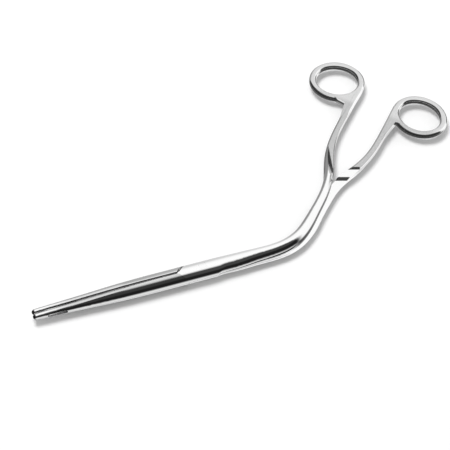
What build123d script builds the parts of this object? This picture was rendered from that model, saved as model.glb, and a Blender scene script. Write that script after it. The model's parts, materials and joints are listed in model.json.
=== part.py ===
# Magill forceps: two forged arms crossing at a screw, with angled handles and finger rings.
# Millimetres. X runs from the jaw tips along the shaft, Z is up from the table.
# Each piece is drawn with the tips at x = 0 and the lap between the arms at z = 0,
# and is then moved so that the origin lies under the middle of the closed forceps.
import os
from math import acos, cos, degrees, radians, sin, tan

from build123d import *

os.makedirs("parts", exist_ok=True)

# Closed shaft and jaws
shaft_diameter = 9.4
shoulder_x = 75.2
tip_diameter = 5.5
valley_round = 1.33
lap_gap = 0.03
shoulder_gap = 0.28

# Jaw windows and serrated faces
window_start = 8.2
window_length = 10.0
window_height = 2.4
serration_length = 23.2
serration_relief = 0.25

# Joint screw
pivot_x = 88.2
screw_diameter = 4.0
head_diameter = 6.0
head_seat = 2.3
screw_gap = 0.05
slot_width = 0.9
slot_depth = 0.9

# Bend between the shaft and the handle
bend_x = 138.7
bend_angle = 47.0
bend_radius = 32.0
bend_width = 6.5

# Handle and shanks, measured along the handle's line from the bend's corner
arm_offset = 1.2
handle_bow = 0.35
neck_width = 4.9
crotch_reach = 48.0
shank_offset = 11.6
shank_width = 3.5
upper_flare = 1.3
shank_height = 4.0
edge_round = 1.2
wall_lean = 45.0
slope_turn = 26.0

# Finger rings: the radii are those of the middle line of the band
ring_reach = 106.7
ring_stagger = 1.9
ring_spread = 25.0
ring_long_radius = 13.4
ring_short_radius = 11.5
ring_droop = 10.0
band_width = 3.8
band_height = 3.8
band_round = 1.5
web_height = 3.7
notch_setback = 11.3
notch_offset = 15.0

shaft_radius = shaft_diameter / 2
joint_end_x = shoulder_x + 20
bend_reach = bend_radius * tan(radians(bend_angle / 2))
bend_start_x = bend_x - bend_reach
spread_length = ring_reach - crotch_reach
notch_reach = ring_reach - notch_setback
far = 4 * shaft_diameter
up = Vector(0, 0, 1)

handle = Plane(
    origin=(bend_x, 0, 0),
    x_dir=(cos(radians(bend_angle)), sin(radians(bend_angle)), 0),
    z_dir=(0, 0, 1),
)


# Outline of the closed jaws and joint, as a body of revolution about the shaft
def closed_outline():
    tip_radius = tip_diameter / 2
    with BuildPart() as solid:
        with BuildSketch(Plane.XZ):
            with BuildLine():
                nose = RadiusArc((0, 0), (tip_radius, tip_radius), tip_radius)
                flank = Spline(
                    nose @ 1,
                    (shoulder_x * 0.38, shaft_radius * 0.79),
                    (shoulder_x * 0.6, shaft_radius * 0.94),
                    (shoulder_x * 0.94, shaft_radius),
                    tangents=((1, 0.03), (1, 0)),
                )
                barrel = Line(flank @ 1, (joint_end_x, shaft_radius))
                end = Line(barrel @ 1, (joint_end_x, 0))
                Line(end @ 1, nose @ 0)
            make_face()
        revolve(axis=Axis.X)
    return solid.part


# One jaw: half of the outline up to the oblique shoulder, with its parting edges eased
def jaw(side, outline):
    with BuildPart() as solid:
        add(outline)
        with BuildSketch(Plane.XY.offset(-far)):
            with BuildLine():
                Polyline(
                    (-far, -side * lap_gap),
                    (shoulder_x - shoulder_gap, -side * lap_gap),
                    (shoulder_x - shoulder_gap + far, -side * far),
                    (-far, -side * far),
                    close=True,
                )
            make_face()
        extrude(amount=2 * far, mode=Mode.INTERSECT)
        parting = solid.faces().filter_by(Axis.Y).sort_by(SortBy.AREA)[-1]
        eased = parting.edges().filter_by(Axis.Z, reverse=True)
        fillet(eased, radius=valley_round)
        with BuildSketch(Plane.XZ.offset(-far)):
            with Locations((window_start + window_length / 2, 0)):
                SlotOverall(window_length, window_height)
        extrude(amount=2 * far, mode=Mode.SUBTRACT)
        with Locations((serration_length / 2, -side * serration_relief / 2, 0)):
            Box(serration_length, serration_relief, 2 * far, mode=Mode.SUBTRACT)
    return solid.part


# The lapped half of the joint, above the lap for the upper arm and below it for the lower
def joint_half(side, outline):
    with BuildPart() as solid:
        add(outline)
        with BuildSketch(Plane.XY.offset(side * lap_gap)):
            with BuildLine():
                Polyline(
                    (shoulder_x + shoulder_gap - far, -side * far),
                    (shoulder_x + shoulder_gap + far, side * far),
                    (joint_end_x + far, side * far),
                    (joint_end_x + far, -side * far),
                    close=True,
                )
            make_face()
        extrude(amount=side * far, mode=Mode.INTERSECT)
    return solid.part


# Middle line of an arm from the bend, through the crossing, out to its shank
def arm_line(side):
    with BuildLine(handle) as line:
        Spline(
            (bend_reach, side * arm_offset * 0.9 - handle_bow * 0.4),
            (crotch_reach * 0.6, side * arm_offset - handle_bow),
            (crotch_reach * 0.96, side * shank_offset * 0.28),
            (crotch_reach + spread_length * 0.17, side * shank_offset * 0.675),
            (crotch_reach + spread_length * 0.375, side * shank_offset * 0.935),
            (crotch_reach + spread_length * 0.613, side * shank_offset),
            tangents=(handle.x_dir, handle.x_dir),
        )
    return line.edges()[0]


# Section plane at a point of a path: its X points to the left of the path, its Y up
def section_plane(point, direction):
    return Plane(origin=point, x_dir=up.cross(direction), z_dir=direction)


# Half-round sections of an arm along the shaft, the bend and the handle
def arm_sections(side):
    sections = []
    taper_step = (bend_start_x - joint_end_x) / 3
    for step, width in ((0, 1.0), (1, 0.9), (2, 0.79), (3, 0.715)):
        point = (joint_end_x + step * taper_step, side * arm_offset * 0.14 * step, 0)
        plane = section_plane(point, Vector(1, 0, 0))
        sections.append((plane, shaft_diameter * width, shaft_radius))
    for share, width in ((1 / 3, 1.02), (2 / 3, 0.98)):
        turn = radians(bend_angle * share)
        radius = bend_radius - side * arm_offset * (0.42 + 0.48 * share) + handle_bow * 0.4 * share
        point = (bend_start_x + radius * sin(turn), bend_radius - radius * cos(turn), 0)
        plane = section_plane(point, Vector(cos(turn), sin(turn), 0))
        sections.append((plane, bend_width * width, shaft_radius))
    line = arm_line(side)
    stations = (
        (0.0, bend_width * 0.92, shaft_radius),
        (0.125, neck_width * 1.08, shaft_radius),
        (0.25, neck_width * 1.01, shaft_radius),
        (0.375, neck_width * 0.98, shaft_radius),
        (0.50, neck_width * 0.95, shaft_radius),
        (0.60, neck_width * 0.9, shaft_radius * 0.93),
        (0.70, shank_width * 1.1, shaft_radius * 0.68),
        (0.80, shank_width * 0.9, shank_height * 0.46),
    )
    for share, width, height in stations:
        plane = section_plane(line @ share, line % share)
        sections.append((plane, width, height))
    return sections


# The half-round length of an arm: flat on the lap, round outside
def arm_body(side):
    with BuildPart() as solid:
        for plane, width, height in arm_sections(side):
            reach = degrees(acos(lap_gap / height))
            with BuildSketch(plane):
                with BuildLine():
                    crown = EllipticalCenterArc(
                        (0, 0),
                        height,
                        width / 2,
                        start_angle=-reach,
                        arc_size=2 * reach,
                        rotation=side * 90,
                    )
                    Line(crown @ 1, crown @ 0)
                make_face()
        loft()
        add(inner_wall(side), mode=Mode.SUBTRACT)
    return solid.part


# The sloped wall that clears the round back of an arm on the inner side of its shank
def inner_wall(side):
    foot = handle.from_local_coords((crotch_reach * 0.97, -side * shank_width * 0.1, 0))
    head_offset = side * (shank_offset - shank_width * 0.35)
    head = handle.from_local_coords((crotch_reach + spread_length * 0.27, head_offset, 0))
    along = (head - foot).normalized()
    inward = Vector(along.Y, -along.X, 0) * side
    low = side * shank_height * 0.4
    high = side * (shaft_radius + 1)
    lean = abs(high - low) * tan(radians(wall_lean))
    with BuildPart() as solid:
        with BuildSketch(Plane(origin=foot, x_dir=inward, z_dir=inward.cross(up))):
            with BuildLine():
                Polyline((0, low), (-lean, high), (far, high), (far, low), close=True)
            make_face()
        extrude(amount=far, both=True)
    return solid.part


# The stepped slope by which the inner face of a shank rises out of the lap
def lap_slope(side):
    turn = radians(bend_angle - side * slope_turn)
    along = Vector(cos(turn), sin(turn), 0)
    start = handle.from_local_coords((crotch_reach * 0.945, 0, 0))
    rise = shank_height / 2
    steps = (
        (-far, 0),
        (0, 0),
        (shank_height * 0.38, rise * 0.62),
        (shank_height * 1.6, rise * 0.56),
        (shank_height * 1.88, rise),
        (shank_height * 1.88, far),
        (-far, far),
    )
    with BuildPart() as solid:
        with BuildSketch(Plane(origin=start, x_dir=along, z_dir=along.cross(up))):
            with BuildLine():
                Polyline([(x, -side * (z - lap_gap)) for x, z in steps], close=True)
            make_face()
        extrude(amount=far, both=True)
    return solid.part


# The shank: a rounded bar from the lap out to the inner side of the ring
def shank(side):
    line = arm_line(side)
    flare = shank_width * (upper_flare if side > 0 else 1)
    stations = [
        (0.40, neck_width * 0.92),
        (0.52, flare * 1.25),
        (0.64, flare * 1.14),
        (0.76, (flare + shank_width) * 0.515),
        (0.88, shank_width),
        (1.0, shank_width),
    ]
    start = line @ 1
    inner = (ring_reach + side * ring_stagger, side * (ring_spread - ring_long_radius), 0)
    end = handle.from_local_coords(Vector(*inner))
    with BuildPart() as solid:
        for share, width in stations:
            with BuildSketch(section_plane(line @ share, line % share)):
                RectangleRounded(width, shank_height, edge_round)
        for share, blend in ((1 / 3, 0.2), (2 / 3, 0.6), (1, 1.05)):
            width = shank_width + (band_width - shank_width) * blend
            height = shank_height + (band_height - shank_height) * blend
            with BuildSketch(section_plane(start + (end - start) * share, handle.x_dir)):
                RectangleRounded(width, height, edge_round)
        loft()
        add(lap_slope(side), mode=Mode.SUBTRACT)
    return solid.part


# The finger ring: an oval band of rounded section, its outer end dropped toward the bend
def ring(side):
    with BuildLine(handle) as path:
        EllipticalCenterArc(
            (ring_reach + side * ring_stagger, side * ring_spread),
            ring_long_radius,
            ring_short_radius,
            arc_size=360,
            rotation=side * (90 + ring_droop),
        )
    edge = path.edges()[0]
    with BuildPart() as solid:
        with BuildSketch(section_plane(edge @ 0, edge % 0)):
            RectangleRounded(band_width, band_height, band_round)
        sweep(path=edge)
    return solid.part


# The flat web that fills the corner between a ring and its shank, up to a sharp notch
def web(side):
    centre = (ring_reach + side * ring_stagger, side * ring_spread)
    notch = notch_reach + side * ring_stagger * 0.1
    with BuildPart() as solid:
        with BuildSketch(handle.offset(-web_height / 2)):
            with BuildLine():
                Polyline(
                    (notch, side * notch_offset),
                    (notch - shank_width * 3.4, side * (shank_offset + shank_width * 0.44)),
                    (notch, side * shank_offset),
                    (centre[0], side * (shank_offset + shank_width * 0.2)),
                    (centre[0] - ring_short_radius, centre[1] - side * ring_long_radius * 0.1),
                    close=True,
                )
            make_face()
            with Locations(centre):
                Ellipse(
                    ring_long_radius - band_width * 0.25,
                    ring_short_radius - band_width * 0.25,
                    rotation=side * (90 + ring_droop),
                    mode=Mode.SUBTRACT,
                )
        extrude(amount=web_height)
    return solid.part


# The stepped round hole or blank for the screw, wider by a clearance all round
def screw_blank(clearance):
    with BuildPart() as solid:
        with BuildSketch(Plane.XY.offset(-far)):
            with Locations((pivot_x, 0)):
                Circle(screw_diameter / 2 + clearance)
        extrude(amount=2 * far)
        with BuildSketch(Plane.XY.offset(-far)):
            with Locations((pivot_x, 0)):
                Circle(head_diameter / 2 + clearance)
        extrude(amount=far - head_seat + clearance)
    return solid.part


# One whole forging
def arm(side, outline):
    with BuildPart() as solid:
        add(joint_half(side, outline))
        add(jaw(side, outline))
        add(arm_body(side))
        add(shank(side))
        add(ring(side))
        add(web(side))
        add(screw_blank(screw_gap), mode=Mode.SUBTRACT)
    return solid.part


outline = closed_outline()
upper = arm(1, outline)
lower = arm(-1, outline)
box = (upper + lower).bounding_box()
to_origin = Location((-box.center().X, -box.center().Y, -box.min.Z))

# Upper arm
with BuildPart() as upper_arm:
    add(upper.moved(to_origin))
upper_arm.part.label = "upper_arm"
export_step(upper_arm.part, "parts/upper_arm.step")

# Lower arm
with BuildPart() as lower_arm:
    add(lower.moved(to_origin))
lower_arm.part.label = "lower_arm"
export_step(lower_arm.part, "parts/lower_arm.step")

# Joint screw: its ends follow the round of the shaft, with a slot across the head
with BuildPart() as joint_screw:
    add(outline.moved(to_origin))
    add(screw_blank(0).moved(to_origin), mode=Mode.INTERSECT)
    with Locations(to_origin * Location((pivot_x, 0, -shaft_radius))):
        Box(head_diameter * 1.2, slot_width, 2 * slot_depth, rotation=(0, 0, 35), mode=Mode.SUBTRACT)
joint_screw.part.label = "joint_screw"
export_step(joint_screw.part, "parts/joint_screw.step")
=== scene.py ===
# %% [markdown]
# # Magill forceps
# A pair of long steel forceps that reaches round a corner: two slender arms cross at a flush
# screw, bend to one side and end in oval finger rings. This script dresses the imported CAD
# model in Blender: it gives the steel its mirror polish, cuts the gripping teeth in the jaws,
# and lights and frames the forceps as on a product photographer's white table.

import json
import math

import bpy
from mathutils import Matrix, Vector


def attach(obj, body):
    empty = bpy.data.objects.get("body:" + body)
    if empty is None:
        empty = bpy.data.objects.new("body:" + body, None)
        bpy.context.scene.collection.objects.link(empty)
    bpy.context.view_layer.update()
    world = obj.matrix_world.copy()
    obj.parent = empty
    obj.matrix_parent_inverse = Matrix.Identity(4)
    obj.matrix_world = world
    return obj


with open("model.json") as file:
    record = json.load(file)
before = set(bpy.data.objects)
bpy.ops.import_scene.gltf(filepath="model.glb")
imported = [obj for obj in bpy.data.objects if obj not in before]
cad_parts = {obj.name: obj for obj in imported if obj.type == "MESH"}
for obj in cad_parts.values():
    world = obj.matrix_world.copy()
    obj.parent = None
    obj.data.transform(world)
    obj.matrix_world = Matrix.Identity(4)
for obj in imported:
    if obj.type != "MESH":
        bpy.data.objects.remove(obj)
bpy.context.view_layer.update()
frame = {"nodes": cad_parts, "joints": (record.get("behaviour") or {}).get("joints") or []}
nodes = frame["nodes"]
hinge = frame["joints"][0]
pivot = Vector(hinge["pos_m"])
mm = 0.001
print("nodes", sorted(nodes), "pivot", [round(v / mm, 2) for v in pivot])

# %% [markdown]
# ## Writing shader maths as expressions
# A material's pattern is arithmetic on positions. Building each Math node by hand hides the
# formula, so a small class wraps a node's output and turns +, -, * and / into Math nodes.
# Any other kind of node comes from one method, which sets its settings before its sockets.

# %% A small language for node trees
class Wire:
    """An output socket that can be used in arithmetic."""

    def __init__(self, tree, socket):
        self.tree = tree
        self.socket = socket

    def math(self, operation, *values):
        return add_node(self.tree, "ShaderNodeMath", {"operation": operation}, self, *values)

    def __add__(self, other):
        return self.math("ADD", other)

    def __sub__(self, other):
        return self.math("SUBTRACT", other)

    def __rsub__(self, other):
        return add_node(self.tree, "ShaderNodeMath", {"operation": "SUBTRACT"}, other, self)

    def __mul__(self, other):
        return self.math("MULTIPLY", other)

    def __truediv__(self, other):
        return self.math("DIVIDE", other)

    def smooth(self, start, end):
        """0 before start, 1 after end, with a soft change between."""
        settings = {"interpolation_type": "SMOOTHSTEP"}
        return add_node(self.tree, "ShaderNodeMapRange", settings, self, start, end, 0.0, 1.0)

    __radd__ = __add__
    __rmul__ = __mul__


def add_node(tree, kind, settings, *values, output=0, **named):
    """Add a node: settings first, then values or wires for its sockets in order or by name."""
    node = tree.nodes.new(kind)
    for key, value in settings.items():
        setattr(node, key, value)
    sockets = list(enumerate(values)) + [(key.replace("_", " "), v) for key, v in named.items()]
    for key, value in sockets:
        if isinstance(value, Wire):
            tree.links.new(value.socket, node.inputs[key])
        else:
            node.inputs[key].default_value = value
    return Wire(tree, node.outputs[output])


def blend_colours(tree, factor, first, second):
    """Mix two colours by a wire."""
    node = tree.nodes.new("ShaderNodeMix")
    node.data_type = "RGBA"
    tree.links.new(factor.socket, node.inputs[0])
    for key, value in ((6, first), (7, second)):
        if isinstance(value, Wire):
            tree.links.new(value.socket, node.inputs[key])
        else:
            node.inputs[key].default_value = (*value, 1.0)
    return Wire(tree, node.outputs[2])


def grey(level):
    return (level, level, level)


print("shader helpers ready")

# %% [markdown]
# ## Where on the forceps a point lies
# The finish changes from place to place: mirror on the round lengths, satin on the flats of the
# shanks, dark in the seams. All of that can be told from a point's own position and from which
# way its surface faces, so no map has to be painted. Positions are measured as a maker would:
# height from the lap plane in which the arms meet, x from the jaw tips, y from the parting
# plane between the jaws, and for the handle its reach and its offset from the bend's corner.

# %% Places, as the shader sees them
screw_x = 88.2
jaw_tip = Vector((pivot.x - screw_x * mm, pivot.y, pivot.z))
shoulder_x = 75.2
joint_end_x = 95.2
bend_x = 138.7
bend_turn = math.radians(47.0)
camera_turn = math.radians(17.4)
toward = Vector((math.sin(camera_turn), math.cos(camera_turn), 0.0))


def split(tree, wire):
    node = tree.nodes.new("ShaderNodeSeparateXYZ")
    tree.links.new(wire.socket, node.inputs[0])
    return [Wire(tree, socket) for socket in node.outputs]


class Places:
    """Wires for a point's position in mm, and for the way its surface faces."""

    def __init__(self, tree):
        self.position = add_node(tree, "ShaderNodeTexCoord", {}, output=3)
        x, y, z = split(tree, self.position)
        self.x = (x - jaw_tip.x) / mm
        self.y = (y - jaw_tip.y) / mm
        self.z = (z - jaw_tip.z) / mm
        self.lift = self.z.math("ABSOLUTE")
        past = self.x - bend_x
        self.reach = past * math.cos(bend_turn) + self.y * math.sin(bend_turn)
        self.offset = self.y * math.cos(bend_turn) - past * math.sin(bend_turn)
        facing = split(tree, add_node(tree, "ShaderNodeTexCoord", {}, output=1))
        self.facing_x = facing[0].math("ABSOLUTE")
        self.facing_y = facing[1].math("ABSOLUTE")
        self.facing_up = facing[2].math("ABSOLUTE")
        ahead = facing[0] * toward.x + facing[1] * toward.y
        right = facing[0] * toward.y - facing[1] * toward.x
        self.facing_near = 0.0 - ahead * 0.9 - right * 0.43


print("tip", [round(v / mm, 2) for v in jaw_tip])

# %% [markdown]
# ## Where the polish changes and where shade is painted
# The flats of the shanks, webs and rings are ground on a belt and left satin, so they look grey
# and even, and the backs of the jaws are a little duller than the shaft. Shade is painted into
# the steel's colour where the mirror would show shadow: near black in the seam between the arms
# from the bend to the crotch, in the valley between the jaws, in the oblique cut at the
# shoulder, behind the joint, at the jaws' noses and at the foot of the finger rings on the near
# side, and a lighter painted shade on the steep walls of the shanks. Each of those is one mask,
# a product of soft steps that is 1 where it holds and 0 elsewhere.

# %% Masks for the finish and for painted shade
def satin_flats(at):
    mask = at.lift.smooth(1.25, 1.45) * (1.0 - at.lift.smooth(2.2, 2.4))
    steepest = 0.5 + at.reach.smooth(86.0, 92.0) * 0.3
    on_ring = at.reach.smooth(95.0, 99.0)
    level = at.facing_up.smooth(steepest, steepest + 0.2)
    return mask * at.reach.smooth(44.0, 47.0) * level * (1.0 - on_ring * 0.35)


def jaw_backs(at):
    aside = at.y.math("ABSOLUTE")
    before_cut = 1.0 - (at.x - aside).smooth(shoulder_x - 0.8, shoulder_x - 0.3)
    return before_cut * aside.smooth(0.8, 1.1) * at.facing_up.smooth(0.45, 0.65)


# Painted shade: the rounded noses of the jaws are darkened to near black
def jaw_noses(at):
    return 1.0 - at.x.smooth(1.5, 2.6)


# Painted shade: the steep walls of the shanks are darkened a little
def shank_wall_shade(at):
    wall = at.reach.smooth(52.0, 58.0) * (1.0 - at.reach.smooth(90.0, 94.0))
    return wall * (1.0 - at.facing_up.smooth(0.2, 0.5)) * 0.4


# Painted shade: a dark line on the inner side of the seam between the arms, bend to crotch
def handle_seam(at):
    bowed = at.offset - (at.reach - 30.0).math("MAXIMUM", 0.0) * 0.2
    bowed = bowed - (14.0 - at.reach).math("MAXIMUM", 0.0) * 0.2
    inner_side = (0.0 - bowed * at.z).smooth(0.0, 0.1)
    low = (1.0 - at.lift.smooth(1.7, 2.9)) * (1.0 - at.facing_up.smooth(0.4, 0.6))
    return low * inner_side * at.reach.smooth(-4.0, 2.0) * (1.0 - at.reach.smooth(46.0, 48.0))


# Painted shade along the valley between the jaws
def jaw_valley(at):
    middle = 1.0 - at.y.math("ABSOLUTE").smooth(0.35, 0.85)
    beside_face = 1.0 - at.facing_y.smooth(0.9, 0.97)
    return middle * beside_face * at.x.smooth(1.5, 4.0) * (1.0 - at.x.smooth(74.4, 75.0)) * 0.62


# Painted shade in the oblique cut at the shoulder
def shoulder_cuts(at):
    crossed = (at.y * at.z).smooth(0.0, 0.2)
    distance = (at.x - at.y.math("ABSOLUTE") - shoulder_x).math("ABSOLUTE")
    return crossed * (1.0 - distance.smooth(0.7, 0.95)) * at.facing_up.smooth(0.3, 0.6)


# Painted shade across the step at the end of the joint's barrel
def joint_end(at):
    distance = (at.x - joint_end_x).math("ABSOLUTE")
    return (1.0 - distance.smooth(0.3, 0.6)) * at.facing_x.smooth(0.4, 0.7)


# Painted shadow: the low near side of each finger ring is darkened, standing in for the shadow
# beneath it as seen in the steel
def ring_foot(at):
    low = (0.0 - at.z).smooth(-1.1, -0.5) * (1.0 - (0.0 - at.z).smooth(0.3, 1.2) * 0.35)
    side = at.reach.smooth(80.0, 84.0) * at.facing_near.smooth(0.0, 0.4)
    return low * side * (1.0 - at.facing_up.smooth(0.85, 0.97)) * 0.97


# Masks where near-black painted shade goes into the steel's colour
painted_shade_marks = (jaw_noses, handle_seam, jaw_valley, shoulder_cuts, joint_end, ring_foot)
print("dark corners", len(painted_shade_marks))

# %% [markdown]
# ## The turned barrel
# The barrel of the joint is turned true on a lathe after the arms are screwed together, so its
# reflections run on in one clean band. The triangles of a mesh break such a band up where a
# taper meets a cylinder. There the true direction of a round bar's surface is worked out from
# the point's position, straight out from the bar's axis, and used in place of the mesh's own.
# Behind the joint it gives way slowly, where the two arms start to taper toward the bend.

# %% Turned barrel
barrel_fade = 6.0


def barrel_direction(tree, at):
    taper = (1.0 - at.x.smooth(62.0, 72.0)) * -0.05
    outward = add_node(tree, "ShaderNodeCombineXYZ", {}, taper, at.y, at.z)
    turning = {"vector_type": "NORMAL", "convert_from": "OBJECT", "convert_to": "WORLD"}
    outward = add_node(tree, "ShaderNodeVectorTransform", turning, outward)
    outward = add_node(tree, "ShaderNodeVectorMath", {"operation": "NORMALIZE"}, outward)
    radius = (at.y * at.y + at.z * at.z).math("SQRT")
    behind = at.x.smooth(joint_end_x, joint_end_x + barrel_fade)
    length = at.x.smooth(44.0, 50.0) * (1.0 - behind)
    turned = length * radius.smooth(4.25, 4.35)
    mesh_own = add_node(tree, "ShaderNodeNewGeometry", {}, output=1)
    mixed = tree.nodes.new("ShaderNodeMix")
    mixed.data_type = "VECTOR"
    for key, wire in ((0, turned), (4, mesh_own), (5, outward)):
        tree.links.new(wire.socket, mixed.inputs[key])
    return Wire(tree, mixed.outputs[1])


print("barrel direction ready")

# %% [markdown]
# ## Mirror-polished steel
# The arms are forged, ground and then buffed on a wheel until they act as a mirror. A buffed
# surface is never quite even: its gloss drifts from place to place, and the wheel leaves very
# faint waves. Both could be painted in an image, but noise on the object's own position needs
# no unwrapping and stays with the piece as it moves. The amounts are tiny, because at this
# polish the reflections do nearly all the work.

# %% The steel
def polished_steel(name, gloss_low, gloss_high, tint, corners=()):
    material = bpy.data.materials.new(name)
    material.use_nodes = True
    tree = material.node_tree
    shader = tree.nodes["Principled BSDF"]
    at = Places(tree)
    drift = add_node(tree, "ShaderNodeTexNoise", {}, Vector=at.position, Scale=90.0, Detail=3.0)
    gloss = gloss_low + drift * (gloss_high - gloss_low)
    waves = add_node(tree, "ShaderNodeTexNoise", {}, Vector=at.position, Scale=260.0, Detail=2.0)
    bump = add_node(
        tree,
        "ShaderNodeBump",
        {},
        Strength=0.05,
        Distance=0.0002,
        Height=waves,
        Normal=barrel_direction(tree, at),
    )
    colour = blend_colours(tree, drift, [value * 0.97 for value in tint], tint)
    grain = add_node(tree, "ShaderNodeTexNoise", {}, Vector=at.position, Scale=1400.0, Detail=2.0)
    satin = blend_colours(tree, 0.50 + grain * 0.16, grey(0.0), tint)
    flats = satin_flats(at)
    gloss = gloss + flats * 0.18
    colour = blend_colours(tree, flats, colour, satin)
    backs = jaw_backs(at) * at.x.smooth(4.0, 24.0)
    gloss = gloss + backs * 0.08
    colour = blend_colours(tree, backs, colour, grey(0.58))
    # Painted shade on the steep walls of the shanks
    colour = blend_colours(tree, shank_wall_shade(at), colour, grey(0.3))
    # Painted shade: each mask darkens the colour to near black
    for mask in corners:
        colour = blend_colours(tree, mask(at), colour, grey(0.03))
    tree.links.new(gloss.socket, shader.inputs["Roughness"])
    tree.links.new(colour.socket, shader.inputs["Base Color"])
    tree.links.new(bump.socket, shader.inputs["Normal"])
    shader.inputs["Metallic"].default_value = 1.0
    return material


arm_steel = polished_steel("mirror_steel", 0.04, 0.08, grey(0.84), painted_shade_marks)
screw_steel = polished_steel("turned_steel", 0.05, 0.10, grey(0.83))
tooth_steel = polished_steel("cut_steel", 0.20, 0.30, grey(0.70))
for node_name, steel in (
    ("upper_arm", arm_steel),
    ("lower_arm", arm_steel),
    ("joint_screw", screw_steel),
):
    mesh = nodes[node_name].data
    mesh.materials.clear()
    mesh.materials.append(steel)
print("steel on", sorted(nodes))

# %% [markdown]
# ## Gripping teeth
# The inside of each jaw is milled with fine cross teeth so that a tube doesn't slip. The CAD
# model has a shallow recess there, and the teeth stand in it. One tooth repeated along a line is
# what Geometry Nodes is for: a row of points, a three-sided bar on each, cut short where the
# jaw's window runs through. The inputs are the real sizes, so another pitch is one number.

# %% A node group that fills a jaw's recess with teeth
tooth_sizes = {
    "First": 2.6,
    "Last": 22.6,
    "Pitch": 0.6,
    "Depth": 0.24,
    "Face": 0.27,
    "Half at first": 0.95,
    "Half at last": 1.9,
    "Window from": 7.9,
    "Window to": 18.5,
    "Window half": 1.24,
}


def serration_group():
    group = bpy.data.node_groups.new("serration", "GeometryNodeTree")
    for name, value in tooth_sizes.items():
        socket = group.interface.new_socket(name, in_out="INPUT", socket_type="NodeSocketFloat")
        socket.default_value = value * mm
    side = group.interface.new_socket("Side", in_out="INPUT", socket_type="NodeSocketFloat")
    side.default_value = 1.0
    group.interface.new_socket("Tip", in_out="INPUT", socket_type="NodeSocketVector")
    group.interface.new_socket("Steel", in_out="INPUT", socket_type="NodeSocketMaterial")
    group.interface.new_socket("Teeth", in_out="OUTPUT", socket_type="NodeSocketGeometry")
    given = group.nodes.new("NodeGroupInput")
    size = {socket.name: Wire(group, socket) for socket in given.outputs if socket.name}
    span = size["Last"] - size["First"]
    count = (span / size["Pitch"]).math("FLOOR") + 1.0
    start = add_node(group, "ShaderNodeCombineXYZ", {}, X=size["First"])
    step = add_node(group, "ShaderNodeCombineXYZ", {}, X=size["Pitch"])
    row = add_node(
        group, "GeometryNodeMeshLine", {}, Count=count, Start_Location=start, Offset=step
    )
    x = split(group, add_node(group, "GeometryNodeInputPosition", {}))[0]
    share = (x - size["First"]) / span
    half = size["Half at first"] + (size["Half at last"] - size["Half at first"]) * share
    after = x.math("GREATER_THAN", size["Window from"])
    before = x.math("LESS_THAN", size["Window to"])
    inner = size["Window half"] * after * before
    length = half - inner
    kept = add_node(
        group, "GeometryNodeDeleteGeometry", {}, row, length.math("LESS_THAN", 0.2 * mm)
    )
    bar = add_node(group, "GeometryNodeMeshCylinder", {}, Vertices=3, Radius=1.0, Depth=1.0)
    turn = add_node(group, "ShaderNodeCombineXYZ", {}, Z=size["Side"] * (-math.pi / 2))
    thick = size["Depth"] / 1.5
    scale = add_node(group, "ShaderNodeCombineXYZ", {}, thick, size["Pitch"] / 1.74, length)
    joined = group.nodes.new("GeometryNodeJoinGeometry")
    for direction in (1.0, -1.0):
        shift = add_node(
            group,
            "ShaderNodeCombineXYZ",
            {},
            Y=size["Side"] * (size["Face"] - thick * 0.5),
            Z=(inner + half) * (direction * 0.5),
        )
        placed = add_node(group, "GeometryNodeSetPosition", {}, Geometry=kept, Offset=shift)
        teeth = add_node(
            group,
            "GeometryNodeInstanceOnPoints",
            {},
            Points=placed,
            Instance=bar,
            Rotation=turn,
            Scale=scale,
        )
        group.links.new(teeth.socket, joined.inputs[0])
    moved = add_node(
        group, "GeometryNodeTransform", {}, Geometry=Wire(group, joined.outputs[0]),
        Translation=size["Tip"],
    )
    whole = add_node(group, "GeometryNodeRealizeInstances", {}, moved)
    finished = add_node(
        group, "GeometryNodeSetMaterial", {}, Geometry=whole, Material=size["Steel"]
    )
    result = group.nodes.new("NodeGroupOutput")
    group.links.new(finished.socket, result.inputs[0])
    return group


serration = serration_group()
print("serration inputs", len(tooth_sizes))

# %% [markdown]
# The node group is run once for each jaw and its result kept as a plain mesh, so that the teeth
# are as solid as the rest of the jaw and move with it when it opens.

# %% Teeth on both jaws
def grow_teeth(name, body, side):
    maker = bpy.data.objects.new(name + "_maker", bpy.data.meshes.new(name + "_maker"))
    bpy.context.scene.collection.objects.link(maker)
    modifier = maker.modifiers.new("serration", "NODES")
    modifier.node_group = serration
    values = {"Side": side, "Tip": tuple(jaw_tip), "Steel": tooth_steel}
    for socket in serration.interface.items_tree:
        if socket.in_out == "INPUT" and socket.name in values:
            modifier[socket.identifier] = values[socket.name]
    maker.update_tag()
    evaluated = maker.evaluated_get(bpy.context.evaluated_depsgraph_get())
    mesh = bpy.data.meshes.new_from_object(evaluated)
    bpy.data.objects.remove(maker, do_unlink=True)
    mesh.name = name
    mesh.materials.clear()
    mesh.materials.append(tooth_steel)
    teeth = bpy.data.objects.new(name, mesh)
    bpy.context.scene.collection.objects.link(teeth)
    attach(teeth, body)
    print(name, "faces", len(mesh.polygons))
    return teeth


grow_teeth("upper_teeth", "upper", -1.0)
grow_teeth("lower_teeth", "lower", 1.0)

# %% [markdown]
# ## Table and studio
# The forceps lies on a white table under a large soft lamp up on the left, which gives the soft
# shadow at the right of each arm. Rays that bounce off the steel don't see the table but the
# room's own lower half, where a lit table top is written in as well, so that the black and white
# bands in the steel can be set by direction alone.

# %% Floor
floor_size = 4.0
bpy.ops.mesh.primitive_plane_add(size=floor_size, location=(0, 0, 0))
floor = bpy.context.object
floor.name = "table"
table_white = bpy.data.materials.new("table_white")
table_white.use_nodes = True
table_shader = table_white.node_tree.nodes["Principled BSDF"]
table_shader.inputs["Base Color"].default_value = (*grey(0.93), 1.0)
table_shader.inputs["Roughness"].default_value = 0.9
table_shader.inputs["Specular IOR Level"].default_value = 0.0
floor.data.materials.append(table_white)
floor.visible_glossy = False
print("table", floor_size, "m")

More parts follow.
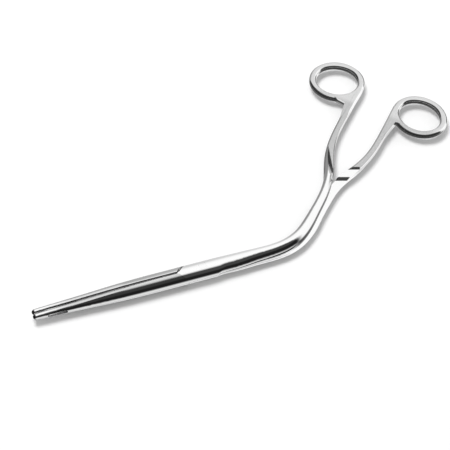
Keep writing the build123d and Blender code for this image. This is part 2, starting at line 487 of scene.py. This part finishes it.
# %% [markdown]
# ## The photographer's place
# The camera stands above the near side and a little to the left, looking down at 55 degrees.
# It is turned against the shaft, so that the shaft rises to the right in the picture. The
# angles were found from the outline, and the distance from the size of the forceps.

# %% Camera
camera_rise = math.radians(55.0)
camera_distance = 0.7316
field_of_view = math.radians(18.0)
aim = Vector((pivot.x + 19.88 * mm, pivot.y + 26.37 * mm, 0.0))
back = Vector((0, 0, 1)) * math.sin(camera_rise) - toward * math.cos(camera_rise)
camera_data = bpy.data.cameras.new("camera")
camera_data.lens = camera_data.sensor_width / 2 / math.tan(field_of_view / 2)
camera = bpy.data.objects.new("camera", camera_data)
bpy.context.scene.collection.objects.link(camera)
camera.location = aim + back * camera_distance
camera.rotation_mode = "QUATERNION"
camera.rotation_quaternion = (-back).to_track_quat("-Z", "Y")
bpy.context.scene.camera = camera
print("camera at", [round(v, 3) for v in camera.location])

# %% [markdown]
# ## The room in the mirror
# The room is written as brightness by direction, because a mirror shows only directions. Its
# parts are those of a tabletop studio: a white ceiling of cloth overhead, white cards to the
# right, a greyer wall on the far left, and on the camera's side an unlit room that ends above in
# the cloth and below in the lit table. A real set would do the same with cards and black
# felt; writing it as smooth steps keeps every edge soft, as large light sources make it.

# %% Room seen in the steel
world = bpy.data.worlds.new("studio")
bpy.context.scene.world = world
world.use_nodes = True
tree = world.node_tree
ray = add_node(tree, "ShaderNodeTexCoord", {}, output=0)
separate = tree.nodes.new("ShaderNodeSeparateXYZ")
tree.links.new(ray.socket, separate.inputs[0])
east, north, height = (Wire(tree, socket) for socket in separate.outputs)
ahead = east * toward.x + north * toward.y
right = east * toward.y - north * toward.x
level_part = (ahead * ahead + right * right + 0.0001).math("SQRT")
right_share = right / level_part
unlit_turn = math.radians(25.5)
near_share = (0.0 - ahead / level_part) * math.cos(unlit_turn) - right_share * math.sin(unlit_turn)
# A dark card stands low at the far right
card_turn = math.radians(46.0)
card = (ahead * math.cos(card_turn) + right * math.sin(card_turn)) / level_part
card = card.smooth(0.90, 0.97) * (1.0 - height.smooth(0.12, 0.3)) * height.smooth(-0.55, -0.4)
# Walls: darker at the left, white at the right, all fading into the white ceiling
walls = 0.32 + right_share.smooth(-0.5, 0.0) * 0.54 + right_share.smooth(0.1, 0.8) * 0.3
walls = walls + (1.19 - walls) * height.smooth(0.1, 0.9)
# The unlit side by the camera, between the ceiling and the table
unlit = 0.015 + height.smooth(0.82, 1.0) * 1.16 + height.smooth(0.2, 0.5) * 0.05
table_seen = (0.0 - height).smooth(0.25, 0.7) * 0.9
unlit = unlit + table_seen * (1.0 - (0.0 - height).smooth(0.8, 1.0) * 0.3)
room = walls * (1.0 - card * 0.96)
room = room + (unlit - room) * near_share.smooth(-0.3, -0.03)
# Matte surfaces get an even level, and the camera sees a white page
even_level = 0.58
page_level = 1.0
light_path = tree.nodes.new("ShaderNodeLightPath")
seen = Wire(tree, light_path.outputs["Is Camera Ray"])
diffuse = Wire(tree, light_path.outputs["Is Diffuse Ray"])
level = room * (1.0 - diffuse) + diffuse * even_level
level = level * (1.0 - seen) + seen * page_level
background = tree.nodes["Background"]
tree.links.new(level.socket, background.inputs["Strength"])
background.inputs["Color"].default_value = (1, 1, 1, 1)
print("room ready")

# %% [markdown]
# ## The lamp
# One round soft lamp overhead, behind and to the left makes the shadow. Its size sets how soft
# the shadow's edge is. It is hidden from reflections, because the white ceiling already stands
# for the cloth that it would shine through.

# %% Soft lamp
lamp_size = 0.55
lamp_power = 10.4
lamp_data = bpy.data.lights.new("softbox", "AREA")
lamp_data.shape = "DISK"
lamp_data.size = lamp_size
lamp_data.energy = lamp_power
lamp = bpy.data.objects.new("softbox", lamp_data)
bpy.context.scene.collection.objects.link(lamp)
lamp.location = aim + Vector((0, 0, 1.2)) + toward * 0.35 - Vector((toward.y, -toward.x, 0)) * 0.25
lamp.rotation_mode = "QUATERNION"
lamp.rotation_quaternion = (aim - lamp.location).to_track_quat("-Z", "Y")
lamp.visible_glossy = False
print("lamp at", [round(v, 2) for v in lamp.location])

# %% [markdown]
# ## Colours
# Colours are shown as they are, without a film look.

# %% Colours as they are
bpy.context.scene.view_settings.view_transform = "Standard"
print("view", bpy.context.scene.view_settings.view_transform)
